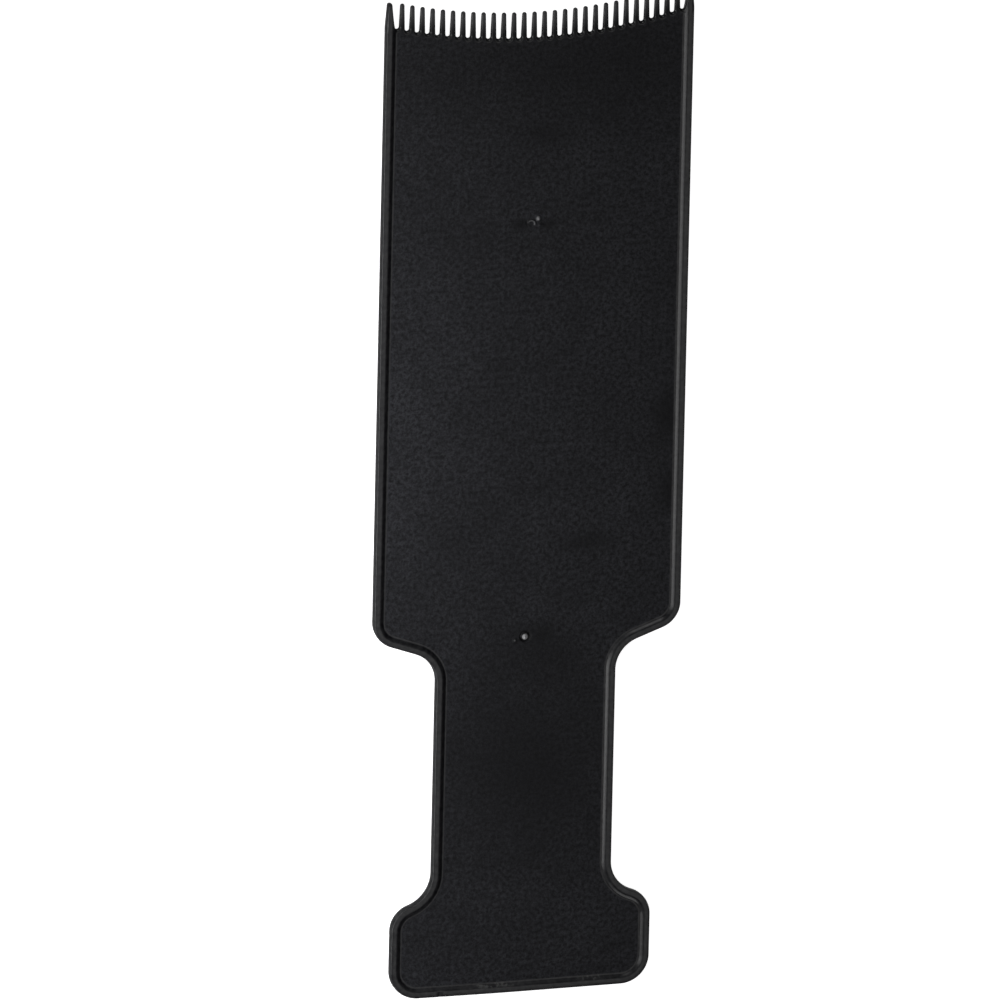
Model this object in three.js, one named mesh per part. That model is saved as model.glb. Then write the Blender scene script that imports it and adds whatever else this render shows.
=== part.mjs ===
// Hair-colouring board: a flat paddle moulded in one shot of black plastic. A thin panel carries a
// rounded bead round its whole edge except across the far end, where a concave comb edge is cut into it.
// Every region of the moulding is its own closed solid, and neighbours meet face to face on shared points.
//
// Millimetres. X is the width, Y the length with the comb at +Y, Z the thickness with the working face up.
// The origin is under the middle of the board, on the plane it rests on.

import * as THREE from 'three';

// Outline
const OVERALL_LENGTH = 311.2;
const BLADE_HALF_WIDTH = 47.5;
const HANDLE_HALF_WIDTH = 27.8;
const BUTT_HALF_WIDTH = 40.2;
const BUTT_CORNER_RADIUS = 8.8;
const BUTT_SIDE_TOP = 21.5;
const NECK_OUTER_RADIUS = 8.2;
const NECK_INNER_RADIUS = 10.4;
const HANDLE_TOP = 99;
const SHOULDER_INNER_RADIUS = 9.7;
const SHOULDER_OUTER_RADIUS = 8.3;
const BEND_ANGLE = THREE.MathUtils.degToRad(70);

// Section
const BEAD_WIDTH = 3.25;
const BEAD_HEIGHT = 3;
const BEAD_EDGE_RUN = 0.5;
const BEAD_LAND_WIDTH = 1;
const FLANK_CROWN_SHARE = 0.55;
const FLANK_FOOT_SHARE = 0.2;
const PANEL_THICKNESS = 1.5;
const MID_HEIGHT = BEAD_HEIGHT / 2;
const PANEL_BOTTOM = MID_HEIGHT - PANEL_THICKNESS / 2;
const PANEL_TOP = MID_HEIGHT + PANEL_THICKNESS / 2;

// Comb
const TOOTH_COUNT = 28;
const TOOTH_PITCH = 3.14;
const TOOTH_LENGTH = 8.1;
const TOOTH_ROOT_WIDTH = 1.8;
const TOOTH_TIP_WIDTH = 1.38;
const TOOTH_TIP_THICKNESS = 1.2;
const COMB_ARC_RADIUS = 170;
const COMB_MIDDLE_LENGTH = 305.4;
const COMB_ROOT_START = 290;
const END_TOOTH_TIP_INNER = 45.5;
const END_TOOTH_TIP_OUTER = 47;
const END_TOOTH_TIP_THICKNESS = 2.6;
const TIP_CAP_SHARE = 0.1;
const NOTCH_RADIUS = (TOOTH_PITCH - TOOTH_ROOT_WIDTH) / 2;

// Gate marks, left where the plastic was fed into the mould
const UPPER_GATE = { x: 0.7, y: 241.4, radius: 0.8, height: 0.45 };
const LOWER_GATE = { x: -0.5, y: 111.3, radius: 1.1, height: 0.65 };

// Facets
const ARC_STEP = THREE.MathUtils.degToRad(10);
const BEAD_CORNER_STEPS = 3;
const FLANK_STEPS = 5;
const NOTCH_STEPS = 6;
const GATE_SIDES = 16;

const PLASTIC = { color: 0x17181a, roughness: 0.62, metalness: 0 };

// ---- The outer edge, walked up the right-hand side with the board on the left of the heading ----

function station(x, y, heading) {
  return { x, y, heading };
}

function forward(from, length) {
  const x = from.x + length * Math.cos(from.heading);
  const y = from.y + length * Math.sin(from.heading);
  return station(x, y, from.heading);
}

// Stations along an arc. A positive angle turns towards the board, a negative one away from it.
function turn(from, radius, angle) {
  const side = Math.sign(angle);
  const centreX = from.x - side * radius * Math.sin(from.heading);
  const centreY = from.y + side * radius * Math.cos(from.heading);
  const steps = Math.ceil(Math.abs(angle) / ARC_STEP);
  const stations = [];
  for (let i = 1; i <= steps; i++) {
    const heading = from.heading + angle * i / steps;
    const x = centreX + side * radius * Math.sin(heading);
    const y = centreY - side * radius * Math.cos(heading);
    stations.push(station(x, y, heading));
  }
  return stations;
}

// Two opposite arcs joined by a straight, which move the edge sideways by sideStep.
function doubleBend(from, firstRadius, secondRadius, angle, sideStep) {
  const arcStep = (firstRadius + secondRadius) * (1 - Math.cos(angle));
  const straight = (sideStep - arcStep) / Math.sin(Math.abs(angle));
  const first = turn(from, firstRadius, angle);
  const middle = forward(first.at(-1), straight);
  return [from, ...first, middle, ...turn(middle, secondRadius, -angle)];
}

function edgeRuns() {
  const up = Math.PI / 2;
  const endRight = station(BUTT_HALF_WIDTH - BUTT_CORNER_RADIUS, 0, 0);
  const endLeft = station(-endRight.x, 0, 0);
  const buttSideTop = station(BUTT_HALF_WIDTH, BUTT_SIDE_TOP, up);
  const neckStep = BUTT_HALF_WIDTH - HANDLE_HALF_WIDTH;
  const neck = doubleBend(buttSideTop, NECK_OUTER_RADIUS, NECK_INNER_RADIUS, BEND_ANGLE, neckStep);
  const handleTop = station(HANDLE_HALF_WIDTH, HANDLE_TOP, up);
  const shoulderStep = BLADE_HALF_WIDTH - HANDLE_HALF_WIDTH;
  const shoulder =
    doubleBend(handleTop, SHOULDER_INNER_RADIUS, SHOULDER_OUTER_RADIUS, -BEND_ANGLE, shoulderStep);
  return {
    buttEnd: [endLeft, endRight],
    butt: [endRight, ...turn(endRight, BUTT_CORNER_RADIUS, up), buttSideTop],
    neck,
    handle: [neck.at(-1), handleTop],
    shoulder,
    blade: [shoulder.at(-1), station(BLADE_HALF_WIDTH, endToothBase(), up)],
  };
}

// The point a given distance in from the edge, square to it.
function inset({ x, y, heading }, distance) {
  return [x - distance * Math.sin(heading), y + distance * Math.cos(heading)];
}

// ---- The comb's two arcs: the notch bottoms, and the tips one tooth length further out ----

// How far an arc through the middle of the comb has risen at x.
function arcRise(x) {
  return COMB_ARC_RADIUS - Math.sqrt(COMB_ARC_RADIUS ** 2 - x ** 2);
}

function tipY(x) {
  return COMB_MIDDLE_LENGTH + arcRise(x);
}

function notchCentre(i) {
  const x = (i - TOOTH_COUNT / 2) * TOOTH_PITCH;
  return { x, y: tipY(x) - TOOTH_LENGTH + NOTCH_RADIUS };
}

// The last notch runs into the bead, and the end tooth starts where it does.
function lastNotchAngle() {
  const notch = notchCentre(TOOTH_COUNT);
  return Math.acos((BLADE_HALF_WIDTH - BEAD_WIDTH - notch.x) / NOTCH_RADIUS);
}

function endToothBase() {
  return notchCentre(TOOTH_COUNT).y - NOTCH_RADIUS * Math.sin(lastNotchAngle());
}

// ---- Solids ----

// A closed body through rings with equal numbers of points, capped flat at both ends.
function loft(rings) {
  const count = rings[0].length;
  const index = [];
  for (let i = 0; i + 1 < rings.length; i++) {
    for (let j = 0; j < count; j++) {
      const a = i * count + j;
      const b = i * count + (j + 1) % count;
      index.push(a, b, b + count, a, b + count, a + count);
    }
  }
  const last = (rings.length - 1) * count;
  for (let j = 1; j + 1 < count; j++) {
    index.push(0, j + 1, j, last, last + j, last + j + 1);
  }
  const geometry = new THREE.BufferGeometry();
  geometry.setAttribute('position', new THREE.Float32BufferAttribute(rings.flat(2), 3));
  geometry.setIndex(index);
  return geometry;
}

// The same body on the left-hand side of the board.
function mirrored(geometry) {
  const copy = geometry.clone();
  const position = copy.getAttribute('position');
  for (let i = 0; i < position.count; i++) {
    position.setX(i, -position.getX(i));
  }
  copy.setIndex([...geometry.getIndex().array].reverse());
  return copy;
}

// Share of its drop that the bead's inner flank has made at a share of the way in: a straight slope
// with a wide round crown above it and a small fillet at its foot.
function flankDrop(share) {
  const slope = 1 / (1 - FLANK_CROWN_SHARE / 2 - FLANK_FOOT_SHARE / 2);
  if (share < FLANK_CROWN_SHARE) {
    return slope * share ** 2 / (2 * FLANK_CROWN_SHARE);
  }
  if (share > 1 - FLANK_FOOT_SHARE) {
    return 1 - slope * (1 - share) ** 2 / (2 * FLANK_FOOT_SHARE);
  }
  return slope * (share - FLANK_CROWN_SHARE / 2);
}

// The bead's section as [distance in from the edge, height]: a steep round outside, a flat land above
// and below, and inside a flank that drops to an upright face as high as the panel is thick.
function beadSection() {
  const upper = [];
  for (let i = 0; i <= BEAD_CORNER_STEPS; i++) {
    const angle = Math.PI / 2 * i / BEAD_CORNER_STEPS;
    upper.push([BEAD_EDGE_RUN * (1 - Math.cos(angle)), MID_HEIGHT + MID_HEIGHT * Math.sin(angle)]);
  }
  const flankStart = BEAD_EDGE_RUN + BEAD_LAND_WIDTH;
  for (let i = 0; i <= FLANK_STEPS; i++) {
    const share = i / FLANK_STEPS;
    const z = BEAD_HEIGHT - (BEAD_HEIGHT - PANEL_TOP) * flankDrop(share);
    upper.push([flankStart + (BEAD_WIDTH - flankStart) * share, z]);
  }
  const lower = upper.slice(1).map(([distance, z]) => [distance, BEAD_HEIGHT - z]);
  return [...lower, ...upper.reverse()];
}

function beadBody(stations) {
  const section = beadSection();
  const rings = stations.map((s) => section.map(([distance, z]) => [...inset(s, distance), z]));
  return loft(rings);
}

function extrudePanel(outline) {
  const shape = new THREE.Shape(outline.map(([x, y]) => new THREE.Vector2(x, y)));
  const geometry = new THREE.ExtrudeGeometry(shape, { depth: PANEL_THICKNESS, bevelEnabled: false });
  return geometry.translate(0, 0, PANEL_BOTTOM);
}

// The panel between the left and right beads over one run of the edge.
function panelBetween(stations) {
  const right = stations.map((s) => inset(s, BEAD_WIDTH));
  const left = right.map(([x, y]) => [-x, y]).reverse();
  return extrudePanel([...right, ...left]);
}

function bladePanel(blade) {
  const [x, y] = inset(blade[0], BEAD_WIDTH);
  return extrudePanel([[x, y], [x, COMB_ROOT_START], [-x, COMB_ROOT_START], [-x, y]]);
}

// The strip that the teeth grow from: a row of half-round notches along the comb's arc.
function combRoot() {
  const sideX = BLADE_HALF_WIDTH - BEAD_WIDTH;
  const outline = [[-sideX, COMB_ROOT_START], [sideX, COMB_ROOT_START]];
  for (let i = TOOTH_COUNT; i >= 0; i--) {
    const { x, y } = notchCentre(i);
    const start = i === TOOTH_COUNT ? lastNotchAngle() : 0;
    const end = i === 0 ? Math.PI - lastNotchAngle() : Math.PI;
    for (let j = 0; j <= NOTCH_STEPS; j++) {
      const angle = start + (end - start) * j / NOTCH_STEPS;
      outline.push([x + NOTCH_RADIUS * Math.cos(angle), y - NOTCH_RADIUS * Math.sin(angle)]);
    }
  }
  return extrudePanel(outline);
}

// How much of a tooth's width and thickness is left near its rounded tip, as [distance back, share].
function tipRounding() {
  const angles = [0, 30, 55, 75].map((angle) => THREE.MathUtils.degToRad(angle));
  return angles.map((angle) => [TOOTH_TIP_WIDTH / 2 * (1 - Math.sin(angle)), Math.cos(angle)]);
}

// A tooth between notches i and i + 1, tapering in width and in thickness.
function tooth(i) {
  const left = notchCentre(i);
  const right = notchCentre(i + 1);
  const x = (left.x + right.x) / 2;
  const top = tipY(x);
  const slope = (right.y - left.y) / TOOTH_ROOT_WIDTH;
  const base = (left.y + right.y) / 2;
  const ring = (y, tilt, width, thickness) => {
    const cut = 0.6;
    const corners = [[1, -cut], [1, cut], [cut, 1], [-cut, 1], [-1, cut], [-1, -cut], [-cut, -1], [cut, -1]];
    return corners.map(([across, up]) => {
      const offset = across * width / 2;
      return [x + offset, y + tilt * offset, MID_HEIGHT + up * thickness / 2];
    });
  };
  const rings = [ring(base, slope, TOOTH_ROOT_WIDTH, PANEL_THICKNESS)];
  for (const [back, share] of tipRounding()) {
    rings.push(ring(top - back, 0, TOOTH_TIP_WIDTH * share, TOOTH_TIP_THICKNESS * share));
  }
  return loft(rings.map((r) => r.reverse()));
}

// The right-hand bead carried on as the last tooth: it narrows, and thins a little, towards its tip.
function endTooth() {
  const base = endToothBase();
  const notch = notchCentre(TOOTH_COUNT);
  const baseInner = BLADE_HALF_WIDTH - BEAD_WIDTH;
  const ring = (y, inner, outer, height) => beadSection().map(([distance, z]) => {
    const x = outer - (outer - inner) * distance / BEAD_WIDTH;
    return [x, y, MID_HEIGHT + (z - MID_HEIGHT) * height / BEAD_HEIGHT];
  });
  const rings = [
    ring(base, baseInner, BLADE_HALF_WIDTH, BEAD_HEIGHT),
    ring(notch.y, notch.x + NOTCH_RADIUS, BLADE_HALF_WIDTH, BEAD_HEIGHT),
  ];
  const middle = (END_TOOTH_TIP_INNER + END_TOOTH_TIP_OUTER) / 2;
  const half = (END_TOOTH_TIP_OUTER - END_TOOTH_TIP_INNER) / 2;
  for (const [back, share] of [...tipRounding(), [0, TIP_CAP_SHARE]]) {
    const height = END_TOOTH_TIP_THICKNESS * share;
    rings.push(ring(OVERALL_LENGTH - back, middle - half * share, middle + half * share, height));
  }
  return loft(rings);
}

// A low domed nub standing on the working face.
function gateMark({ x, y, radius, height }) {
  const profile = [[0, 0], [radius, 0], [radius * 0.92, height * 0.6], [radius * 0.6, height], [0, height]];
  const points = profile.map(([r, z]) => new THREE.Vector2(r, z));
  const geometry = new THREE.LatheGeometry(points, GATE_SIDES);
  return geometry.rotateX(Math.PI / 2).translate(x, y, PANEL_TOP);
}

// ---- Assembly ----

const group = new THREE.Group();

function add(name, geometry) {
  const mesh = new THREE.Mesh(geometry, new THREE.MeshStandardMaterial(PLASTIC));
  mesh.name = name;
  mesh.position.y = -OVERALL_LENGTH / 2;
  group.add(mesh);
}

function addPair(name, geometry) {
  add(`${name}_right`, geometry);
  add(`${name}_left`, mirrored(geometry));
}

const edge = edgeRuns();
add('butt_panel', panelBetween(edge.butt));
add('neck_panel', panelBetween(edge.neck));
add('handle_panel', panelBetween(edge.handle));
add('shoulder_panel', panelBetween(edge.shoulder));
add('blade_panel', bladePanel(edge.blade));
add('comb_root', combRoot());

add('butt_rim_end', beadBody(edge.buttEnd));
for (const run of ['butt', 'neck', 'handle', 'shoulder', 'blade']) {
  addPair(`${run}_rim`, beadBody(edge[run]));
}

for (let i = 0; i < TOOTH_COUNT; i++) {
  add(`tooth_${String(i + 1).padStart(2, '0')}`, tooth(i));
}
addPair('end_tooth', endTooth());

add('upper_gate_mark', gateMark(UPPER_GATE));
add('lower_gate_mark', gateMark(LOWER_GATE));

export default group;
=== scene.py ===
import math

import bmesh
import bpy
from mathutils import Matrix, Vector
from mathutils.geometry import delaunay_2d_cdt


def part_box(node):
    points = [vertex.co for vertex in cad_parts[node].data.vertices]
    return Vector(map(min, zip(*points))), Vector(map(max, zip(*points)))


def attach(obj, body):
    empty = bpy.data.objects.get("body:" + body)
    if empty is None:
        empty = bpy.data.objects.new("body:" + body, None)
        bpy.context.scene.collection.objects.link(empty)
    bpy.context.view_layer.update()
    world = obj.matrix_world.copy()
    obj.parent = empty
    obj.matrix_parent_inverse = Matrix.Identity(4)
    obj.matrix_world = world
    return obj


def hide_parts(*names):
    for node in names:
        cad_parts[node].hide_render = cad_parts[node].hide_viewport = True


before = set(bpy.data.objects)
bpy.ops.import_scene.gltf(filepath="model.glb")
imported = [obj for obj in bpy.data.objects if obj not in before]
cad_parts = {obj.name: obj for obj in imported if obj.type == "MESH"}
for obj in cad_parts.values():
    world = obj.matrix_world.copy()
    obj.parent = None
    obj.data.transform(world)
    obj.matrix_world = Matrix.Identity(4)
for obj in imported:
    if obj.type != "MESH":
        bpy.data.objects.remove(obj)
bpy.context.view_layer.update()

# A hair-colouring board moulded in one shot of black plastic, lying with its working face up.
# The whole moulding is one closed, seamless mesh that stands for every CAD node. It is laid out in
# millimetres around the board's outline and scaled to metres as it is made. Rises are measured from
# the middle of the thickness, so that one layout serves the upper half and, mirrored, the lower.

MM = 0.001


# ---- Driving sizes, in millimetres: read from the CAD nodes, or set ----
# The set ones are the CAD model's, but for three. The bead's outer rounding is 0.12 mm tighter and its
# land as much wider, to follow the bands of light in the photo, and the teeth's tips are 0.1 mm thinner.

def low(node, axis):
    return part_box(node)[0][axis] / MM


def high(node, axis):
    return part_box(node)[1][axis] / MM


BUTT_END = low("butt_rim_end", 1)
BUTT_HALF_WIDTH = high("butt_rim_right", 0)
BUTT_SIDE_TOP = high("butt_rim_right", 1)
HANDLE_HALF_WIDTH = high("handle_rim_right", 0)
HANDLE_TOP = high("handle_rim_right", 1)
BLADE_HALF_WIDTH = high("blade_rim_right", 0)
COMB_END = high("end_tooth_right", 1)

BUTT_CORNER_RADIUS = 8.8
NECK_OUTER_RADIUS = 8.2
NECK_INNER_RADIUS = 10.4
SHOULDER_INNER_RADIUS = 9.7
SHOULDER_OUTER_RADIUS = 8.3
BEND_ANGLE = math.radians(70)

MID_HEIGHT = high("blade_rim_right", 2) / 2
BEAD_RISE = MID_HEIGHT
PANEL_RISE = high("blade_panel", 2) - MID_HEIGHT

BEAD_WIDTH = BLADE_HALF_WIDTH - low("blade_rim_right", 0)
OUTER_RUN = 0.38
LAND_WIDTH = 1.12
INNER_START = OUTER_RUN + LAND_WIDTH
FLANK_CROWN_SHARE = 0.55
FLANK_FOOT_SHARE = 0.2

TOOTH_COUNT = sum(name.startswith("tooth_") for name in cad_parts)
FIRST_TOOTH_X = (low("tooth_01", 0) + high("tooth_01", 0)) / 2
TOOTH_PITCH = -2 * FIRST_TOOTH_X / (TOOTH_COUNT - 1)
TOOTH_ROOT_WIDTH = high("tooth_01", 0) - low("tooth_01", 0)
TOOTH_TIP_WIDTH = 1.38
TOOTH_TIP_RISE = 0.55
TOOTH_LENGTH = 8.1
NOTCH_RADIUS = (TOOTH_PITCH - TOOTH_ROOT_WIDTH) / 2
COMB_ARC_RADIUS = 170
END_TOOTH_TIP_INNER = 45.5
END_TOOTH_TIP_OUTER = 47
END_TOOTH_TIP_RISE = 1.3


def mix(a, b, share):
    return a + (b - a) * share


def smooth_step(value, start, end):
    share = min(1, max(0, (value - start) / (end - start)))
    return share * share * (3 - 2 * share)


# ---- The outline: stations up the right-hand edge, each a point and a heading, board on the left ----

ARC_STEP = math.radians(3)
BUTT_END_STEPS = 110
BUTT_SIDE_STEPS = 8
BEND_STEPS = 4
HANDLE_STEPS = 24
BLADE_STEPS = 60
BESIDE_COMB = 30
BESIDE_COMB_STEPS = 100


def forward(station, length, steps):
    """Stations straight on from one, evenly over a length."""
    x, y, heading = station
    stations = []
    for i in range(1, steps + 1):
        run = length * i / steps
        stations.append((x + run * math.cos(heading), y + run * math.sin(heading), heading))
    return stations


def turn(station, radius, angle):
    """Stations round an arc, to the left where the angle is above zero."""
    x, y, heading = station
    side = math.copysign(1, angle)
    centre_x = x - side * radius * math.sin(heading)
    centre_y = y + side * radius * math.cos(heading)
    steps = math.ceil(abs(angle) / ARC_STEP)
    stations = []
    for i in range(1, steps + 1):
        now = heading + angle * i / steps
        x = centre_x + side * radius * math.sin(now)
        y = centre_y - side * radius * math.cos(now)
        stations.append((x, y, now))
    return stations


def double_bend(station, first_radius, second_radius, angle, side_step):
    """A turn, a straight and a turn back, which together step sideways."""
    arcs = (first_radius + second_radius) * (1 - math.cos(angle))
    straight = (side_step - arcs) / math.sin(abs(angle))
    first = turn(station, first_radius, angle)
    middle = forward(first[-1], straight, BEND_STEPS)
    return first + middle + turn(middle[-1], second_radius, -angle)


def right_edge(top):
    """Stations from the middle of the butt end round and up to the given height."""
    neck_step = BUTT_HALF_WIDTH - HANDLE_HALF_WIDTH
    shoulder_step = BLADE_HALF_WIDTH - HANDLE_HALF_WIDTH
    shoulder_radii = (SHOULDER_INNER_RADIUS, SHOULDER_OUTER_RADIUS)
    stations = [(0, BUTT_END, 0)]
    stations += forward(stations[-1], BUTT_HALF_WIDTH - BUTT_CORNER_RADIUS, BUTT_END_STEPS)
    stations += turn(stations[-1], BUTT_CORNER_RADIUS, math.pi / 2)
    stations += forward(stations[-1], BUTT_SIDE_TOP - stations[-1][1], BUTT_SIDE_STEPS)
    stations += double_bend(stations[-1], NECK_OUTER_RADIUS, NECK_INNER_RADIUS, BEND_ANGLE, neck_step)
    stations += forward(stations[-1], HANDLE_TOP - stations[-1][1], HANDLE_STEPS)
    stations += double_bend(stations[-1], *shoulder_radii, -BEND_ANGLE, shoulder_step)
    stations += forward(stations[-1], top - BESIDE_COMB - stations[-1][1], BLADE_STEPS)
    stations += forward(stations[-1], BESIDE_COMB, BESIDE_COMB_STEPS)
    return stations


def inset(station, distance):
    x, y, heading = station
    return x - distance * math.sin(heading), y + distance * math.cos(heading)


# ---- The comb's layout: the tips lie on an arc, and notch i is on the left of tooth i ----

def arc_rise(x):
    return COMB_ARC_RADIUS - math.sqrt(COMB_ARC_RADIUS ** 2 - x ** 2)


MIDDLE_TOOTH_X = TOOTH_PITCH / 2
COMB_MIDDLE = high(f"tooth_{TOOTH_COUNT // 2 + 1}", 1) - arc_rise(MIDDLE_TOOTH_X)


def tip_y(x):
    return COMB_MIDDLE + arc_rise(x)


def notch_centre(i):
    x = (i - TOOTH_COUNT / 2) * TOOTH_PITCH
    return x, tip_y(x) - TOOTH_LENGTH + NOTCH_RADIUS


# ---- The bead's section, as (distance in from the edge, rise), in to where the flat face begins ----

FLAT_WIDTH = BLADE_HALF_WIDTH - notch_centre(TOOTH_COUNT)[0]
OUTER_STEPS = 10
INNER_STEPS = 14


def flank_drop(share):
    """Share of the drop made at a share of the inner flank: a straight slope with its ends rounded."""
    slope = 1 / (1 - FLANK_CROWN_SHARE / 2 - FLANK_FOOT_SHARE / 2)
    if share < FLANK_CROWN_SHARE:
        return slope * share * share / (2 * FLANK_CROWN_SHARE)
    if share > 1 - FLANK_FOOT_SHARE:
        return 1 - slope * (1 - share) ** 2 / (2 * FLANK_FOOT_SHARE)
    return slope * (share - FLANK_CROWN_SHARE / 2)


def section_rise(distance):
    """Rise of the bead or the panel at a distance in from the edge."""
    if distance < OUTER_RUN:
        return BEAD_RISE * math.sqrt(1 - (1 - distance / OUTER_RUN) ** 2)
    if distance < INNER_START:
        return BEAD_RISE
    if distance < BEAD_WIDTH:
        share = (distance - INNER_START) / (BEAD_WIDTH - INNER_START)
        return mix(BEAD_RISE, PANEL_RISE, flank_drop(share))
    return PANEL_RISE


def bead_section():
    outer = [OUTER_RUN * (1 - math.cos(math.pi / 2 * i / OUTER_STEPS)) for i in range(OUTER_STEPS + 1)]
    inner = [mix(INNER_START, BEAD_WIDTH, i / INNER_STEPS) for i in range(INNER_STEPS + 1)]
    return [(distance, section_rise(distance)) for distance in (*outer, *inner, FLAT_WIDTH)]


SECTION = bead_section()


def bead_ring(station):
    return [(*inset(station, distance), rise) for distance, rise in SECTION]


# ---- The comb's notches: edges are rounded from the middle of the thickness up to the face ----

EDGE_STEPS = 7
NOTCH_STEPS = 12

# How far into the plastic the rounding runs.
ROOT_EDGE_RUN = 0.6
END_TOOTH_EDGE_RUN = 0.35
NOTCH_FLOOR_RUN = 1.15
TIP_EDGE_RUN = 0.48


def rounded_edge(x, y, normal, rise, run):
    """Points from the silhouette up over a quarter of an ellipse; normal points into the plastic."""
    points = []
    for i in range(EDGE_STEPS + 1):
        angle = math.pi / 2 * i / EDGE_STEPS
        back = run * (1 - math.cos(angle))
        points.append((x + normal[0] * back, y + normal[1] * back, rise * math.sin(angle)))
    return points


def notch_angles(i):
    """Angles round notch i, from its right-hand side down; the end teeth's rings make the outer halves."""
    start = math.pi / 2 if i == TOOTH_COUNT else 0
    end = math.pi / 2 if i == 0 else math.pi
    steps = NOTCH_STEPS // 2 if i in (0, TOOTH_COUNT) else NOTCH_STEPS
    return [mix(start, end, j / steps) for j in range(steps + 1)]


def notch_side(i, angle):
    """A point on the silhouette of notch i, the way into the plastic, and how far the rounding runs."""
    x, y = notch_centre(i)
    normal = (math.cos(angle), -math.sin(angle))
    beside_end_tooth = (i == 0 and normal[0] < 0) or (i == TOOTH_COUNT and normal[0] > 0)
    side_run = END_TOOTH_EDGE_RUN if beside_end_tooth else ROOT_EDGE_RUN
    run = mix(side_run, NOTCH_FLOOR_RUN, math.sin(angle) ** 2)
    return (x + NOTCH_RADIUS * normal[0], y + NOTCH_RADIUS * normal[1]), normal, run


def notch_edge(i, angle):
    """The rounded edge of notch i at an angle."""
    point, normal, run = notch_side(i, angle)
    return rounded_edge(*point, normal, PANEL_RISE, run)


# ---- The teeth: rings over the top of each, from its root to its tip ----

TOOTH_COLUMNS = 4
TOOTH_ROWS = 8
END_TOOTH_ROWS = 16
END_TOOTH_TAPER_START = 1.5
END_TOOTH_INNER_POWER = 0.7
TIP_ANGLES = [math.radians(angle) for angle in (12, 24, 36, 48, 60, 71, 81)]


def tooth_half_ring(left, right, rise, run):
    """Over the top of a tooth from its left silhouette to its right one."""
    start = rounded_edge(*left, (1, 0), rise, run)
    end = rounded_edge(*right, (-1, 0), rise, run)
    a = start[-1]
    b = end[-1]
    top = [tuple(mix(a[k], b[k], j / TOOTH_COLUMNS) for k in range(3)) for j in range(1, TOOTH_COLUMNS)]
    return start + top + end[::-1]


def tooth_rings(i):
    left_x, left_y = notch_centre(i)
    right_x, right_y = notch_centre(i + 1)
    x = (left_x + right_x) / 2
    tip_radius = TOOTH_TIP_WIDTH / 2
    top = tip_y(x) - tip_radius
    rings = []
    for j in range(TOOTH_ROWS + 1):
        share = j / TOOTH_ROWS
        half = mix(TOOTH_ROOT_WIDTH / 2, tip_radius, share)
        rise = mix(PANEL_RISE, TOOTH_TIP_RISE, share)
        run = mix(ROOT_EDGE_RUN, TIP_EDGE_RUN, share)
        left = (x - half, mix(left_y, top, share))
        right = (x + half, mix(right_y, top, share))
        rings.append(tooth_half_ring(left, right, rise, run))
    for angle in TIP_ANGLES:
        scale = math.cos(angle)
        y = top + tip_radius * math.sin(angle)
        left = (x - tip_radius * scale, y)
        right = (x + tip_radius * scale, y)
        rings.append(tooth_half_ring(left, right, TOOTH_TIP_RISE * scale, TIP_EDGE_RUN * scale))
    return rings


def tooth_section(width, rise, run):
    """The bead's section points moved to where they lie on a rounded tooth."""
    points = []
    for i in range(OUTER_STEPS + 1):
        angle = math.pi / 2 * i / OUTER_STEPS
        points.append((run * (1 - math.cos(angle)), rise * math.sin(angle)))
    rest = len(SECTION) - len(points)
    for i in range(1, rest + 1):
        points.append((mix(run, width, i / rest), rise))
    return points


def end_tooth_ring(outer, inner, normal, rise, run, blend):
    """From the outer silhouette over the top to the rounded inner edge, blended from bead to tooth."""
    crest = (inner[0] + normal[0] * run, inner[1] + normal[1] * run)
    width = outer[0] - crest[0]
    crest_rise = mix(section_rise(width), rise, blend)
    ring = []
    for (distance, _), (tooth_distance, tooth_rise) in zip(SECTION, tooth_section(width, rise, run)):
        share = mix(distance / FLAT_WIDTH, tooth_distance / width, blend)
        z = mix(section_rise(width * distance / FLAT_WIDTH), tooth_rise, blend)
        ring.append((mix(outer[0], crest[0], share), mix(outer[1], crest[1], share), z))
    return ring + rounded_edge(*inner, normal, crest_rise, run)[-2::-1]


def end_tooth_rings():
    """The bead carried on past the last notch as the right-hand end tooth."""
    notch_x, notch_y = notch_centre(TOOTH_COUNT)
    base_y = notch_y - NOTCH_RADIUS - NOTCH_FLOOR_RUN
    taper_start = base_y + END_TOOTH_TAPER_START
    tip_radius = (END_TOOTH_TIP_OUTER - END_TOOTH_TIP_INNER) / 2
    top = COMB_END - tip_radius
    root_inner = notch_x + NOTCH_RADIUS

    def outer_x(y):
        share = max(0, (y - taper_start) / (COMB_END - taper_start))
        return mix(BLADE_HALF_WIDTH, END_TOOTH_TIP_OUTER, share)

    rings = []
    corner_steps = NOTCH_STEPS // 2
    for j in range(corner_steps + 1):
        angle = math.pi / 2 * (1 - j / corner_steps)
        y = mix(base_y, notch_y, j / corner_steps)
        inner, normal, run = notch_side(TOOTH_COUNT, angle)
        rings.append(end_tooth_ring((outer_x(y), y), inner, normal, PANEL_RISE, run, 0))
    for j in range(1, END_TOOTH_ROWS + 1):
        share = j / END_TOOTH_ROWS
        y = mix(notch_y, top, share)
        inner = (mix(root_inner, END_TOOTH_TIP_INNER, share ** END_TOOTH_INNER_POWER), y)
        run = mix(END_TOOTH_EDGE_RUN, TIP_EDGE_RUN, share)
        blend = smooth_step(share, 0, 1)
        rings.append(end_tooth_ring((outer_x(y), y), inner, (1, 0), END_TOOTH_TIP_RISE, run, blend))
    middle = (END_TOOTH_TIP_INNER + outer_x(top)) / 2
    half_top = (outer_x(top) - END_TOOTH_TIP_INNER) / 2
    for angle in TIP_ANGLES:
        scale = math.cos(angle)
        y = top + tip_radius * math.sin(angle)
        outer = (middle + half_top * scale, y)
        inner = (middle - half_top * scale, y)
        rise = END_TOOTH_TIP_RISE * scale
        rings.append(end_tooth_ring(outer, inner, (1, 0), rise, TIP_EDGE_RUN * scale, 1))
    return rings


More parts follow.
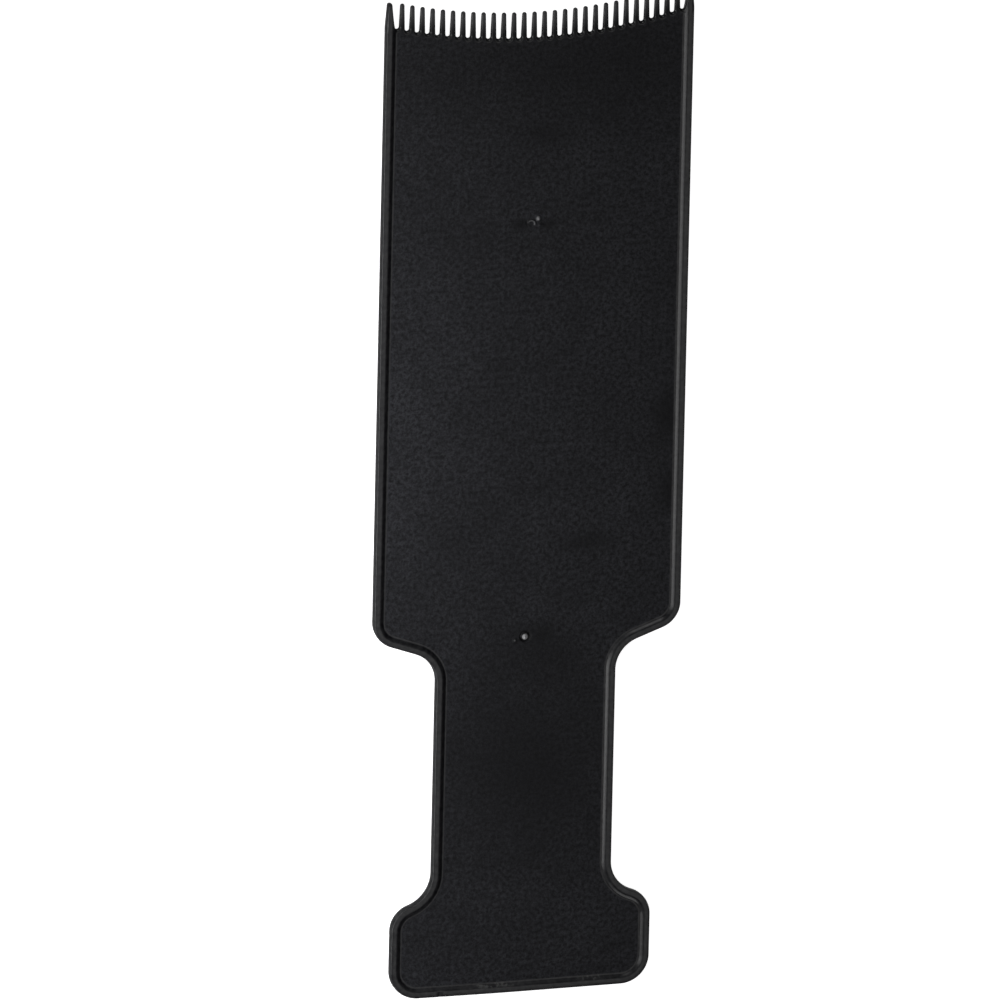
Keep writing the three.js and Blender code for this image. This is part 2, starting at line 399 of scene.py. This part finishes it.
# ---- Gate marks: what is left in the working face where the plastic was fed in ----
# Each stands in a round patch of fine mesh. Lumps and hollows are given as centre, from the middle of
# the patch, half size and height above the panel's face.

PATCH_RADIUS = 4.4
PATCH_SIDES = 120
PATCH_STEP = 0.11
PATCH_FADE = (PATCH_RADIUS - 0.5, PATCH_RADIUS - 0.05)

NUB_RADIUS = 1.1
NUB_HEIGHT = 0.68
MOAT_RADIUS = 1.4
MOAT_BANK = (0.05, 0.4)
MOAT_DEPTH = 0.26
MOAT_EXTRA_DEPTH = 0.1
MOAT_DEEP_SIDE = math.radians(250)
DISH_DEPTH = 0.08
DISH_BANK = (1.65, 2.15)
BLOB = ((-3.2, -1.0), (0.6, 0.6), 0.24)

STUB_PEAK = ((0, 0), (0.68, 0.85), 0.46)
HOOK_CENTRE = (-2.05, -1.58)
HOOK_RADIUS = 1.05
HOOK_HALF_WIDTH = 0.32
HOOK_HEIGHT = 0.27
HOOK_MIDDLE = math.radians(70)
HOOK_ENDS = (-0.3, 0.2)
HOOK_TAIL = ((0.3, -2.08), (0.8, 0.35), 0.2)
LEFT_HOLLOW = ((-3.4, -1.2), (0.5, 0.8), -0.14)
RIGHT_HOLLOW = ((2.3, -2.13), (0.8, 0.8), -0.14)


def lump(x, y, centre, size, height):
    """A soft oval lump, or a hollow where the height is below zero."""
    return height * math.exp(-((x - centre[0]) / size[0]) ** 2 - ((y - centre[1]) / size[1]) ** 2)


def patch_fade(x, y):
    """Brings the marks down to the panel's face before the edge of the patch."""
    return 1 - smooth_step(math.hypot(x, y), *PATCH_FADE)


def lower_gate_height(x, y):
    """A round nub in a moat, a shallow dish that is deepest on its right, and a blob on its left."""
    r = math.hypot(x, y)
    angle = math.atan2(y, x)
    moat_depth = MOAT_DEPTH + MOAT_EXTRA_DEPTH * math.cos(angle - MOAT_DEEP_SIDE)
    height = -moat_depth * (1 - smooth_step(abs(r - MOAT_RADIUS), *MOAT_BANK))
    height -= DISH_DEPTH * (1 + math.cos(angle)) * (1 - smooth_step(r, *DISH_BANK))
    height += lump(x, y, *BLOB)
    if r < NUB_RADIUS:
        height += NUB_HEIGHT * math.sqrt(1 - (r / NUB_RADIUS) ** 2)
    return height * patch_fade(x, y)


def upper_gate_height(x, y):
    """A torn stub: a small peak, and beside it a hook of plastic lying over, with two hollows."""
    angle = math.atan2(y - HOOK_CENTRE[1], x - HOOK_CENTRE[0])
    along = smooth_step(math.cos(angle - HOOK_MIDDLE), *HOOK_ENDS)
    across = (math.dist((x, y), HOOK_CENTRE) - HOOK_RADIUS) / HOOK_HALF_WIDTH
    height = HOOK_HEIGHT * along * math.exp(-across ** 2)
    for mark in (STUB_PEAK, HOOK_TAIL, LEFT_HOLLOW, RIGHT_HOLLOW):
        height += lump(x, y, *mark)
    return height * patch_fade(x, y)


def gate_centre(node):
    return (low(node, 0) + high(node, 0)) / 2, (low(node, 1) + high(node, 1)) / 2


GATES = [
    (gate_centre("upper_gate_mark"), upper_gate_height),
    (gate_centre("lower_gate_mark"), lower_gate_height),
]


def circle(centre, radius):
    angles = [2 * math.pi * i / PATCH_SIDES for i in range(PATCH_SIDES)]
    return [(centre[0] + radius * math.cos(a), centre[1] + radius * math.sin(a)) for a in angles]


# ---- Mesh building: strips that share their end points, welded at the end ----

POLISHED = 0
TEXTURED = 1
WELD_DISTANCE = 0.001
TRIANGLES_INSIDE = 1
TRIANGLE_TOLERANCE = 1e-6


class Surface:
    def __init__(self):
        self.points = []
        self.faces = []
        self.finishes = []

    def add_points(self, points):
        first = len(self.points)
        self.points.extend(points)
        return list(range(first, first + len(points)))

    def add_face(self, corners, finish=POLISHED):
        self.faces.append(corners)
        self.finishes.append(finish)

    def add_strip(self, rings, closed=False, finish=POLISHED):
        rows = [self.add_points(ring) for ring in rings]
        if closed:
            rows = [row + row[:1] for row in rows]
        for a, b in zip(rows, rows[1:]):
            for j in range(min(len(a), len(b)) - 1):
                self.add_face((a[j], a[j + 1], b[j + 1], b[j]), finish)
        return rows


def mirrored(ring):
    return [(-x, y, z) for x, y, z in ring]


def face_boundary(bead):
    """The loop round the panel's flat face, anticlockwise from the middle of the butt end."""
    right = [ring[-1] for ring in bead]
    loop = list(right)
    for i in range(TOOTH_COUNT, -1, -1):
        edges = [notch_edge(i, angle)[-1] for angle in notch_angles(i)]
        loop += edges[1:] if i == TOOTH_COUNT else edges
        if i > 0:
            base = tooth_rings(i - 1)[0]
            top = base[EDGE_STEPS + 1:EDGE_STEPS + TOOTH_COLUMNS]
            loop += top[::-1]
    loop += mirrored(right[::-1])[1:-1]
    return loop


def add_flat_face(surface, loop, hole_centres):
    """The panel's flat face, with a round hole left open for each gate's patch."""
    coords = [Vector(p[:2]) for p in loop]
    count = len(coords)
    edges = [(i, (i + 1) % count) for i in range(count)]
    for centre in hole_centres:
        first = len(coords)
        coords += [Vector(p) for p in circle(centre, PATCH_RADIUS)]
        edges += [(first + i, first + (i + 1) % PATCH_SIDES) for i in range(PATCH_SIDES)]
    triangles = delaunay_2d_cdt(coords, edges, [], TRIANGLES_INSIDE, TRIANGLE_TOLERANCE)
    points = triangles[0]
    indices = surface.add_points([(p[0], p[1], PANEL_RISE) for p in points])

    def in_hole(corners):
        return any(
            all(abs(math.dist(points[c], centre) - PATCH_RADIUS) < WELD_DISTANCE for c in corners)
            for centre in hole_centres
        )

    for corners in triangles[2]:
        if not in_hole(corners):
            surface.add_face([indices[c] for c in corners], TEXTURED)


def add_gate_patch(surface, centre, height_at):
    steps = round(PATCH_RADIUS / PATCH_STEP)
    rings = []
    for i in range(steps):
        ring = []
        for x, y in circle(centre, PATCH_RADIUS * (1 - i / steps)):
            ring.append((x, y, PANEL_RISE + height_at(x - centre[0], y - centre[1])))
        rings.append(ring)
    rows = surface.add_strip(rings, closed=True, finish=TEXTURED)
    middle = surface.add_points([(*centre, PANEL_RISE + height_at(0, 0))])[0]
    for a, b in zip(rows[-1], rows[-1][1:]):
        surface.add_face((a, b, middle), TEXTURED)


def half_surface(gates):
    """One side of the board, from the middle of its thickness out."""
    surface = Surface()
    end_rings = end_tooth_rings()
    base_y = end_rings[0][0][1]
    bead = [bead_ring(station) for station in right_edge(base_y)]
    for rings in (bead, end_rings):
        surface.add_strip(rings)
        surface.add_strip([mirrored(ring) for ring in rings])
    for tip in (end_rings[-1], mirrored(end_rings[-1])):
        surface.add_face(surface.add_points(tip))
    for i in range(TOOTH_COUNT + 1):
        surface.add_strip([notch_edge(i, angle) for angle in notch_angles(i)])
    for i in range(TOOTH_COUNT):
        rows = surface.add_strip(tooth_rings(i), finish=TEXTURED)
        surface.add_face(rows[-1], TEXTURED)
    add_flat_face(surface, face_boundary(bead), [centre for centre, _ in gates])
    for centre, height_at in gates:
        add_gate_patch(surface, centre, height_at)
    return surface


# ---- Small faults of the moulding: the butt end is out of square, and the working face is nicked ----

BUTT_SKEW = 0.3
BUTT_SKEW_FADE = (4, 14)
NICK = ((-24.6, BUTT_END + 1.0), (0.7, 0.9), 0.35)


def with_faults(point, side):
    """The point moved by the faults; the nick is only in the upper side."""
    x, y, z = point
    if side > 0:
        z -= min(z, lump(x, y, *NICK))
    near_end = 1 - smooth_step(y - BUTT_END, *BUTT_SKEW_FADE)
    y += BUTT_SKEW * near_end * smooth_step(-x, 0, BUTT_HALF_WIDTH)
    return x, y, z


def make_board():
    mesh_data = bmesh.new()
    for surface, side in ((half_surface(GATES), 1), (half_surface([]), -1)):
        vertices = []
        for x, y, z in (with_faults(p, side) for p in surface.points):
            vertices.append(mesh_data.verts.new((x * MM, y * MM, (MID_HEIGHT + side * z) * MM)))
        for corners, finish in zip(surface.faces, surface.finishes):
            ring = [vertices[c] for c in corners]
            face = mesh_data.faces.new(ring if side > 0 else ring[::-1])
            face.smooth = True
            face.material_index = finish
    bmesh.ops.remove_doubles(mesh_data, verts=mesh_data.verts, dist=WELD_DISTANCE * MM)
    bmesh.ops.recalc_face_normals(mesh_data, faces=mesh_data.faces)
    mesh = bpy.data.meshes.new("board")
    mesh_data.to_mesh(mesh)
    mesh_data.free()
    board = bpy.data.objects.new("board", mesh)
    bpy.context.collection.objects.link(board)
    return board


# ---- Materials: a noise is given as scale, in cells per metre, detail and roughness ----

class Nodes:
    """A material's node tree, with the calls that the finishes below are written in."""

    def __init__(self, name):
        self.material = bpy.data.materials.new(name)
        self.material.use_nodes = True
        self.tree = self.material.node_tree
        self.shader = self.tree.nodes["Principled BSDF"]
        self.place = self.tree.nodes.new("ShaderNodeTexCoord").outputs["Object"]

    def link(self, source, target):
        self.tree.links.new(source, target)

    def noise(self, scale, detail, roughness):
        node = self.tree.nodes.new("ShaderNodeTexNoise")
        node.inputs["Scale"].default_value = scale
        node.inputs["Detail"].default_value = detail
        node.inputs["Roughness"].default_value = roughness
        self.link(self.place, node.inputs["Vector"])
        return node.outputs["Fac"]

    def ramp(self, source, source_start, source_end, start, end):
        """The source's values between its start and end become values from start to end."""
        node = self.tree.nodes.new("ShaderNodeMapRange")
        node.inputs["From Min"].default_value = source_start
        node.inputs["From Max"].default_value = source_end
        node.inputs["To Min"].default_value = start
        node.inputs["To Max"].default_value = end
        self.link(source, node.inputs["Value"])
        return node.outputs["Result"]

    def product(self, first, second):
        node = self.tree.nodes.new("ShaderNodeMath")
        node.operation = "MULTIPLY"
        self.link(first, node.inputs[0])
        self.link(second, node.inputs[1])
        return node.outputs["Value"]

    def rise(self):
        """Distance above or below the middle of the board's thickness, in metres."""
        split = self.tree.nodes.new("ShaderNodeSeparateXYZ")
        self.link(self.place, split.inputs["Vector"])
        offset = self.tree.nodes.new("ShaderNodeMath")
        offset.operation = "SUBTRACT"
        self.link(split.outputs["Z"], offset.inputs[0])
        offset.inputs[1].default_value = MID_HEIGHT * MM
        node = self.tree.nodes.new("ShaderNodeMath")
        node.operation = "ABSOLUTE"
        self.link(offset.outputs["Value"], node.inputs[0])
        return node.outputs["Value"]

    def distance(self, centre, size):
        """Distance from an oval's centre on the panel's face, 1 at its edge; given in millimetres."""
        offset = self.tree.nodes.new("ShaderNodeVectorMath")
        offset.operation = "SUBTRACT"
        self.link(self.place, offset.inputs[0])
        offset.inputs[1].default_value = (centre[0] * MM, centre[1] * MM, (MID_HEIGHT + PANEL_RISE) * MM)
        scaled = self.tree.nodes.new("ShaderNodeVectorMath")
        scaled.operation = "DIVIDE"
        self.link(offset.outputs["Vector"], scaled.inputs[0])
        scaled.inputs[1].default_value = (size[0] * MM, size[1] * MM, size[0] * MM)
        length = self.tree.nodes.new("ShaderNodeVectorMath")
        length.operation = "LENGTH"
        self.link(scaled.outputs["Vector"], length.inputs[0])
        return length.outputs["Value"]

    def mix_colour(self, share, start, end):
        """From the start, a colour or another mix, to the end colour as the share runs from 0 to 1."""
        node = self.tree.nodes.new("ShaderNodeMix")
        node.data_type = "RGBA"
        sockets = {socket.identifier: socket for socket in node.inputs}
        if isinstance(start, tuple):
            sockets["A_Color"].default_value = (*start, 1)
        else:
            self.link(start, sockets["A_Color"])
        sockets["B_Color"].default_value = (*end, 1)
        self.link(share, sockets["Factor_Float"])
        return next(socket for socket in node.outputs if socket.identifier == "Result_Color")

    def bump(self, height, distance, strength):
        node = self.tree.nodes.new("ShaderNodeBump")
        node.inputs["Strength"].default_value = strength
        node.inputs["Distance"].default_value = distance
        self.link(height, node.inputs["Height"])
        self.link(node.outputs["Normal"], self.shader.inputs["Normal"])


DARK_PLASTIC = (0.0018, 0.0018, 0.0030)
LIGHT_GRAIN = (0.0248, 0.0255, 0.0303)
LIGHT_GLOSS = (0.018, 0.018, 0.0195)
# Painted light: the paler grey the teeth turn towards their tips.
PAINTED_LIGHT_TIP_GREY = (0.048, 0.048, 0.050)
# Whitened torn plastic on the gate nubs, partly a painted highlight.
TORN_WHITE_AND_PAINTED_HIGHLIGHT = (0.42, 0.42, 0.43)
SCUFF_GREY = (0.06, 0.06, 0.06)
BUMP_STRENGTH = 0.5

# A spread is the part of a noise's values that a tone or a roughness runs across.
GRAIN_NOISE = (850, 3, 0.75)
GRAIN_SPREAD = (0.36, 0.64)
GRAIN_DEPTH = 0.3 * MM
MOTTLE_NOISE = (55, 4, 0.6)
MOTTLE_SPREAD = (0.3, 0.7)
MOTTLE_TONE = (0.6, 1)
SPECKLE_NOISE = (330, 2, 0.5)
SPECKLE_SPREAD = (0.35, 0.65)
SPECKLE_TONE = (0.84, 1.12)
TEXTURED_ROUGHNESS = 0.62
TORN_ROUGHNESS = 0.3
TORN_SMOOTH_SHARE = 0.4
WORN_ROUGHNESS_SHARE = 0.65
GRAIN_ROUGHNESS_SHARE = (1.1, 0.9)
TEXTURED_IOR = 1.36

GLOSS_TONE_NOISE = (700, 3, 0.6)
GLOSS_TONE = (0.1, 1)
GLOSS_WAVE_NOISE = (500, 3, 0.6)
GLOSS_DEPTH = 0.03 * MM
HANDLING_NOISE = (260, 4, 0.6)
GLOSS_SPREAD = (0.35, 0.65)
GLOSS_ROUGHNESS = (0.28, 0.37)
GLOSS_IOR = 1.5
FLECK_NOISE = (900, 2, 0.5)
FLECK_SPREAD = (0.5, 0.62)

# Darker patches, placed by the working face and reaching through to the underside: centre and half
# size, in millimetres, and how much they take away. The first is the other way round and is painted
# light: the left of the blade is a little paler, as a lamp on that side makes it. The four small ones on
# the two gate marks are painted shade round their nubs and hollows.
DARK_PATCHES_AND_PAINTED_LIGHT = [
    ((-50, 28), (34, 50), -0.4),
    ((1, -84), (36, 38), 0.75),
    ((18, 132), (60, 22), 0.6),
    ((6, -50), (18, 10), 0.5),
    ((2, 112), (9, 5), 0.6),
    ((43, 22), (7, 12), 0.9),
    ((44, -2), (6, 8), 0.85),
    ((19, -16), (10, 4), 0.65),
    ((-4.5, 84.3), (3.5, 2.5), 0.85),
    ((4.0, 83.6), (3.0, 2.5), 0.85),
    ((0, -44), (7, 4.5), 0.5),
    ((5.5, -43.5), (3.5, 4), 0.7),
]
DARK_PATCH_AND_PAINTED_LIGHT_EDGE = (0.2, 1.2)

# Pale scuffs on the bead's inner shoulder at the butt end: centre and half size, in millimetres.
SCUFFS = [
    ((-8, -152.9), (11, 0.9)),
    ((22, -152.9), (5, 0.9)),
]
SCUFF_EDGE = (0.4, 1)

# Where the teeth's colour and finish change, in millimetres back from the arc of their tips: painted
# shade darkens their roots, and towards their tips painted light turns them paler as they are worn
# smoother.
PAINTED_ROOT_SHADE = (TOOTH_LENGTH + 0.6, TOOTH_LENGTH - 0.4)
TOOTH_WEAR_AND_PAINTED_LIGHT = (TOOTH_LENGTH - 1.5, 2.5)

# Heights from the panel's face, in millimetres, over which the painted shade in hollows clears and torn
# plastic whitens, the whitening partly a painted highlight.
PAINTED_HOLLOW_SHADE = (-0.14, -0.02)
TORN_WHITE_AND_HIGHLIGHT_HEIGHTS = (0.15, 0.7)


def across_comb(nodes, reach, start, end):
    """From start to end between two distances back from the arc of the teeth's tips."""
    arc_centre = (0, COMB_MIDDLE + COMB_ARC_RADIUS)
    distance = nodes.distance(arc_centre, (COMB_ARC_RADIUS, COMB_ARC_RADIUS))
    first, last = (1 + back / COMB_ARC_RADIUS for back in reach)
    return nodes.ramp(distance, first, last, start, end)


def across_heights(nodes, heights):
    """From 0 to 1 between two heights from the panel's face."""
    first, last = ((PANEL_RISE + height) * MM for height in heights)
    return nodes.ramp(nodes.rise(), first, last, 0, 1)


def grain_tone(nodes, grain):
    """How much light grain shows: mottled, with darker patches, painted light on the left of the blade,
    and painted shade on the gate marks, in hollows and at the teeth's roots.
    """
    tone = nodes.ramp(grain, *GRAIN_SPREAD, 0, 1)
    mottle = nodes.ramp(nodes.noise(*MOTTLE_NOISE), *MOTTLE_SPREAD, *MOTTLE_TONE)
    tone = nodes.product(tone, mottle)
    speckle = nodes.ramp(nodes.noise(*SPECKLE_NOISE), *SPECKLE_SPREAD, *SPECKLE_TONE)
    tone = nodes.product(tone, speckle)
    # Darker patches, with painted light on the left of the blade and painted shade on the gate marks.
    for centre, size, loss in DARK_PATCHES_AND_PAINTED_LIGHT:
        tone = nodes.product(tone, nodes.ramp(nodes.distance(centre, size), *DARK_PATCH_AND_PAINTED_LIGHT_EDGE, 1 - loss, 1))
    # Painted shade: the pale grain fades out towards the teeth's roots, so they come out darker.
    tone = nodes.product(tone, across_comb(nodes, PAINTED_ROOT_SHADE, 1, 0))
    # Painted shade: no pale grain shows in hollows below the panel's face.
    return nodes.product(tone, across_heights(nodes, PAINTED_HOLLOW_SHADE))


def textured_plastic():
    """The panel's spark-eroded grain, mottled, with darker patches and painted light and shade; the torn
    gate marks are whiter, partly a painted highlight, and smoother.

    It carries on into the teeth, darkened at their roots by painted shade, and towards their tips paler
    from painted light and worn smooth.
    """
    nodes = Nodes("black_plastic_textured")
    grain = nodes.noise(*GRAIN_NOISE)
    torn = across_heights(nodes, TORN_WHITE_AND_HIGHLIGHT_HEIGHTS)
    colour = nodes.mix_colour(grain_tone(nodes, grain), DARK_PLASTIC, LIGHT_GRAIN)
    # Painted light: the teeth turn paler grey towards their tips.
    colour = nodes.mix_colour(across_comb(nodes, TOOTH_WEAR_AND_PAINTED_LIGHT, 0, 1), colour, PAINTED_LIGHT_TIP_GREY)
    # Torn plastic on the gate nubs whitens; the whitening is partly a painted highlight.
    colour = nodes.mix_colour(torn, colour, TORN_WHITE_AND_PAINTED_HIGHLIGHT)
    nodes.link(colour, nodes.shader.inputs["Base Color"])
    roughness = nodes.ramp(torn, 0, TORN_SMOOTH_SHARE, TEXTURED_ROUGHNESS, TORN_ROUGHNESS)
    roughness = nodes.product(roughness, across_comb(nodes, TOOTH_WEAR_AND_PAINTED_LIGHT, 1, WORN_ROUGHNESS_SHARE))
    roughness = nodes.product(roughness, nodes.ramp(grain, *GRAIN_SPREAD, *GRAIN_ROUGHNESS_SHARE))
    nodes.link(roughness, nodes.shader.inputs["Roughness"])
    nodes.shader.inputs["IOR"].default_value = TEXTURED_IOR
    nodes.bump(grain, GRAIN_DEPTH, BUMP_STRENGTH)
    return nodes.material


def polished_plastic():
    """The smoother finish of the bead, the end teeth and the notches' edges, handled and scuffed."""
    nodes = Nodes("black_plastic_polished")
    tone = nodes.ramp(nodes.noise(*GLOSS_TONE_NOISE), *GLOSS_SPREAD, *GLOSS_TONE)
    colour = nodes.mix_colour(tone, DARK_PLASTIC, LIGHT_GLOSS)
    for centre, size in SCUFFS:
        worn = nodes.ramp(nodes.distance(centre, size), *SCUFF_EDGE, 1, 0)
        flecks = nodes.ramp(nodes.noise(*FLECK_NOISE), *FLECK_SPREAD, 0, 1)
        colour = nodes.mix_colour(nodes.product(worn, flecks), colour, SCUFF_GREY)
    nodes.link(colour, nodes.shader.inputs["Base Color"])
    roughness = nodes.ramp(nodes.noise(*HANDLING_NOISE), *GLOSS_SPREAD, *GLOSS_ROUGHNESS)
    nodes.link(roughness, nodes.shader.inputs["Roughness"])
    nodes.shader.inputs["IOR"].default_value = GLOSS_IOR
    nodes.bump(nodes.noise(*GLOSS_WAVE_NOISE), GLOSS_DEPTH, BUMP_STRENGTH)
    return nodes.material


FLOOR_GREY = (0.8, 0.8, 0.8)
FLOOR_ROUGHNESS = 0.9
FLOOR_GLOW = 0.92


def white_floor():
    material = bpy.data.materials.new("white_sweep")
    material.use_nodes = True
    shader = material.node_tree.nodes["Principled BSDF"]
    shader.inputs["Base Color"].default_value = (*FLOOR_GREY, 1)
    shader.inputs["Roughness"].default_value = FLOOR_ROUGHNESS
    shader.inputs["Specular IOR Level"].default_value = 0
    shader.inputs["Emission Color"].default_value = (1, 1, 1, 1)
    shader.inputs["Emission Strength"].default_value = FLOOR_GLOW
    return material


# ---- Studio, in metres, but for the camera's lens and sensor, which are in millimetres ----

CAMERA_YAW = math.radians(17.07)
CAMERA_PITCH = math.radians(18.27)
CAMERA_ROLL = math.radians(-1.263)
CAMERA_DISTANCE = 11.838
CAMERA_AIM = (-8.591 * MM, -2.291 * MM)
CAMERA_PIVOT = (0, 0.4 * MM, MID_HEIGHT * MM)
CAMERA_LENS = 1440
CAMERA_SENSOR = 36
CAMERA_CLIP = (0.01, 100)

FLOOR_HALF_SIDE = 4
FLOOR_DROP = 0.1 * MM

# Area lights as place, target, size and power. The last one is the table's glow, in the gap under the
# board.
MIDDLE = (0, 0, 0)
LIGHTS = {
    "key": ((-0.67, -0.25, 0.54), MIDDLE, (0.4, 0.8), 1.65),
    "overhead": ((0.26, -0.26, 1.0), MIDDLE, (0.7, 0.7), 1.15),
    "near_strip": ((-0.13, -0.03, 0.07), (0, -0.03, 0), (0.33, 0.06), 0.285),
    "comb_fill": ((-0.05, 0.6, 0.5), MIDDLE, (0.3, 0.3), 0.75),
    "butt_fill": ((-0.05, -0.6, 0.1), MIDDLE, (0.4, 0.15), 0.3),
    "table_bounce": ((0, 0, -FLOOR_DROP / 2), (0, 0, 1), (1, 1), 0.7),
}
STRAY_LIGHT = 0.01


def add_camera():
    """Square to the board, turned by yaw, pitch and roll; aim is where the view's middle falls."""
    turned = (
        Matrix.Rotation(CAMERA_ROLL, 4, "Z")
        @ Matrix.Rotation(CAMERA_PITCH, 4, "X")
        @ Matrix.Rotation(CAMERA_YAW, 4, "Y")
    )
    data = bpy.data.cameras.new("camera")
    data.lens = CAMERA_LENS
    data.sensor_width = CAMERA_SENSOR
    data.clip_start, data.clip_end = CAMERA_CLIP
    camera = bpy.data.objects.new("camera", data)
    bpy.context.collection.objects.link(camera)
    place = Matrix.Translation((*CAMERA_AIM, CAMERA_DISTANCE))
    camera.matrix_world = Matrix.Translation(CAMERA_PIVOT) @ turned.inverted() @ place
    bpy.context.scene.camera = camera


def add_area_light(name, location, target, size, power):
    data = bpy.data.lights.new(name, "AREA")
    data.shape = "RECTANGLE"
    data.size, data.size_y = size
    data.energy = power
    lamp = bpy.data.objects.new(name, data)
    lamp.location = location
    lamp.rotation_euler = (Vector(target) - Vector(location)).to_track_quat("-Z", "Y").to_euler()
    lamp.visible_camera = False
    bpy.context.collection.objects.link(lamp)


def add_floor():
    """A white table just under the board, kept out of the board's reflections."""
    side = FLOOR_HALF_SIDE
    mesh = bpy.data.meshes.new("floor")
    corners = [(x * side, y * side, -FLOOR_DROP) for x, y in ((-1, -1), (1, -1), (1, 1), (-1, 1))]
    mesh.from_pydata(corners, [], [(0, 1, 2, 3)])
    floor = bpy.data.objects.new("floor", mesh)
    bpy.context.collection.objects.link(floor)
    floor.data.materials.append(white_floor())
    floor.visible_glossy = False


def light_scene():
    for name, light in LIGHTS.items():
        add_area_light(name, *light)
    world = bpy.data.worlds.new("studio")
    world.use_nodes = True
    background = world.node_tree.nodes["Background"]
    background.inputs["Color"].default_value = (1, 1, 1, 1)
    background.inputs["Strength"].default_value = STRAY_LIGHT
    bpy.context.scene.world = world
    bpy.context.scene.view_settings.view_transform = "Standard"


board = make_board()
board.data.materials.append(polished_plastic())
board.data.materials.append(textured_plastic())
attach(board, "root")
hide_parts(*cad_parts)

add_camera()
add_floor()
light_scene()
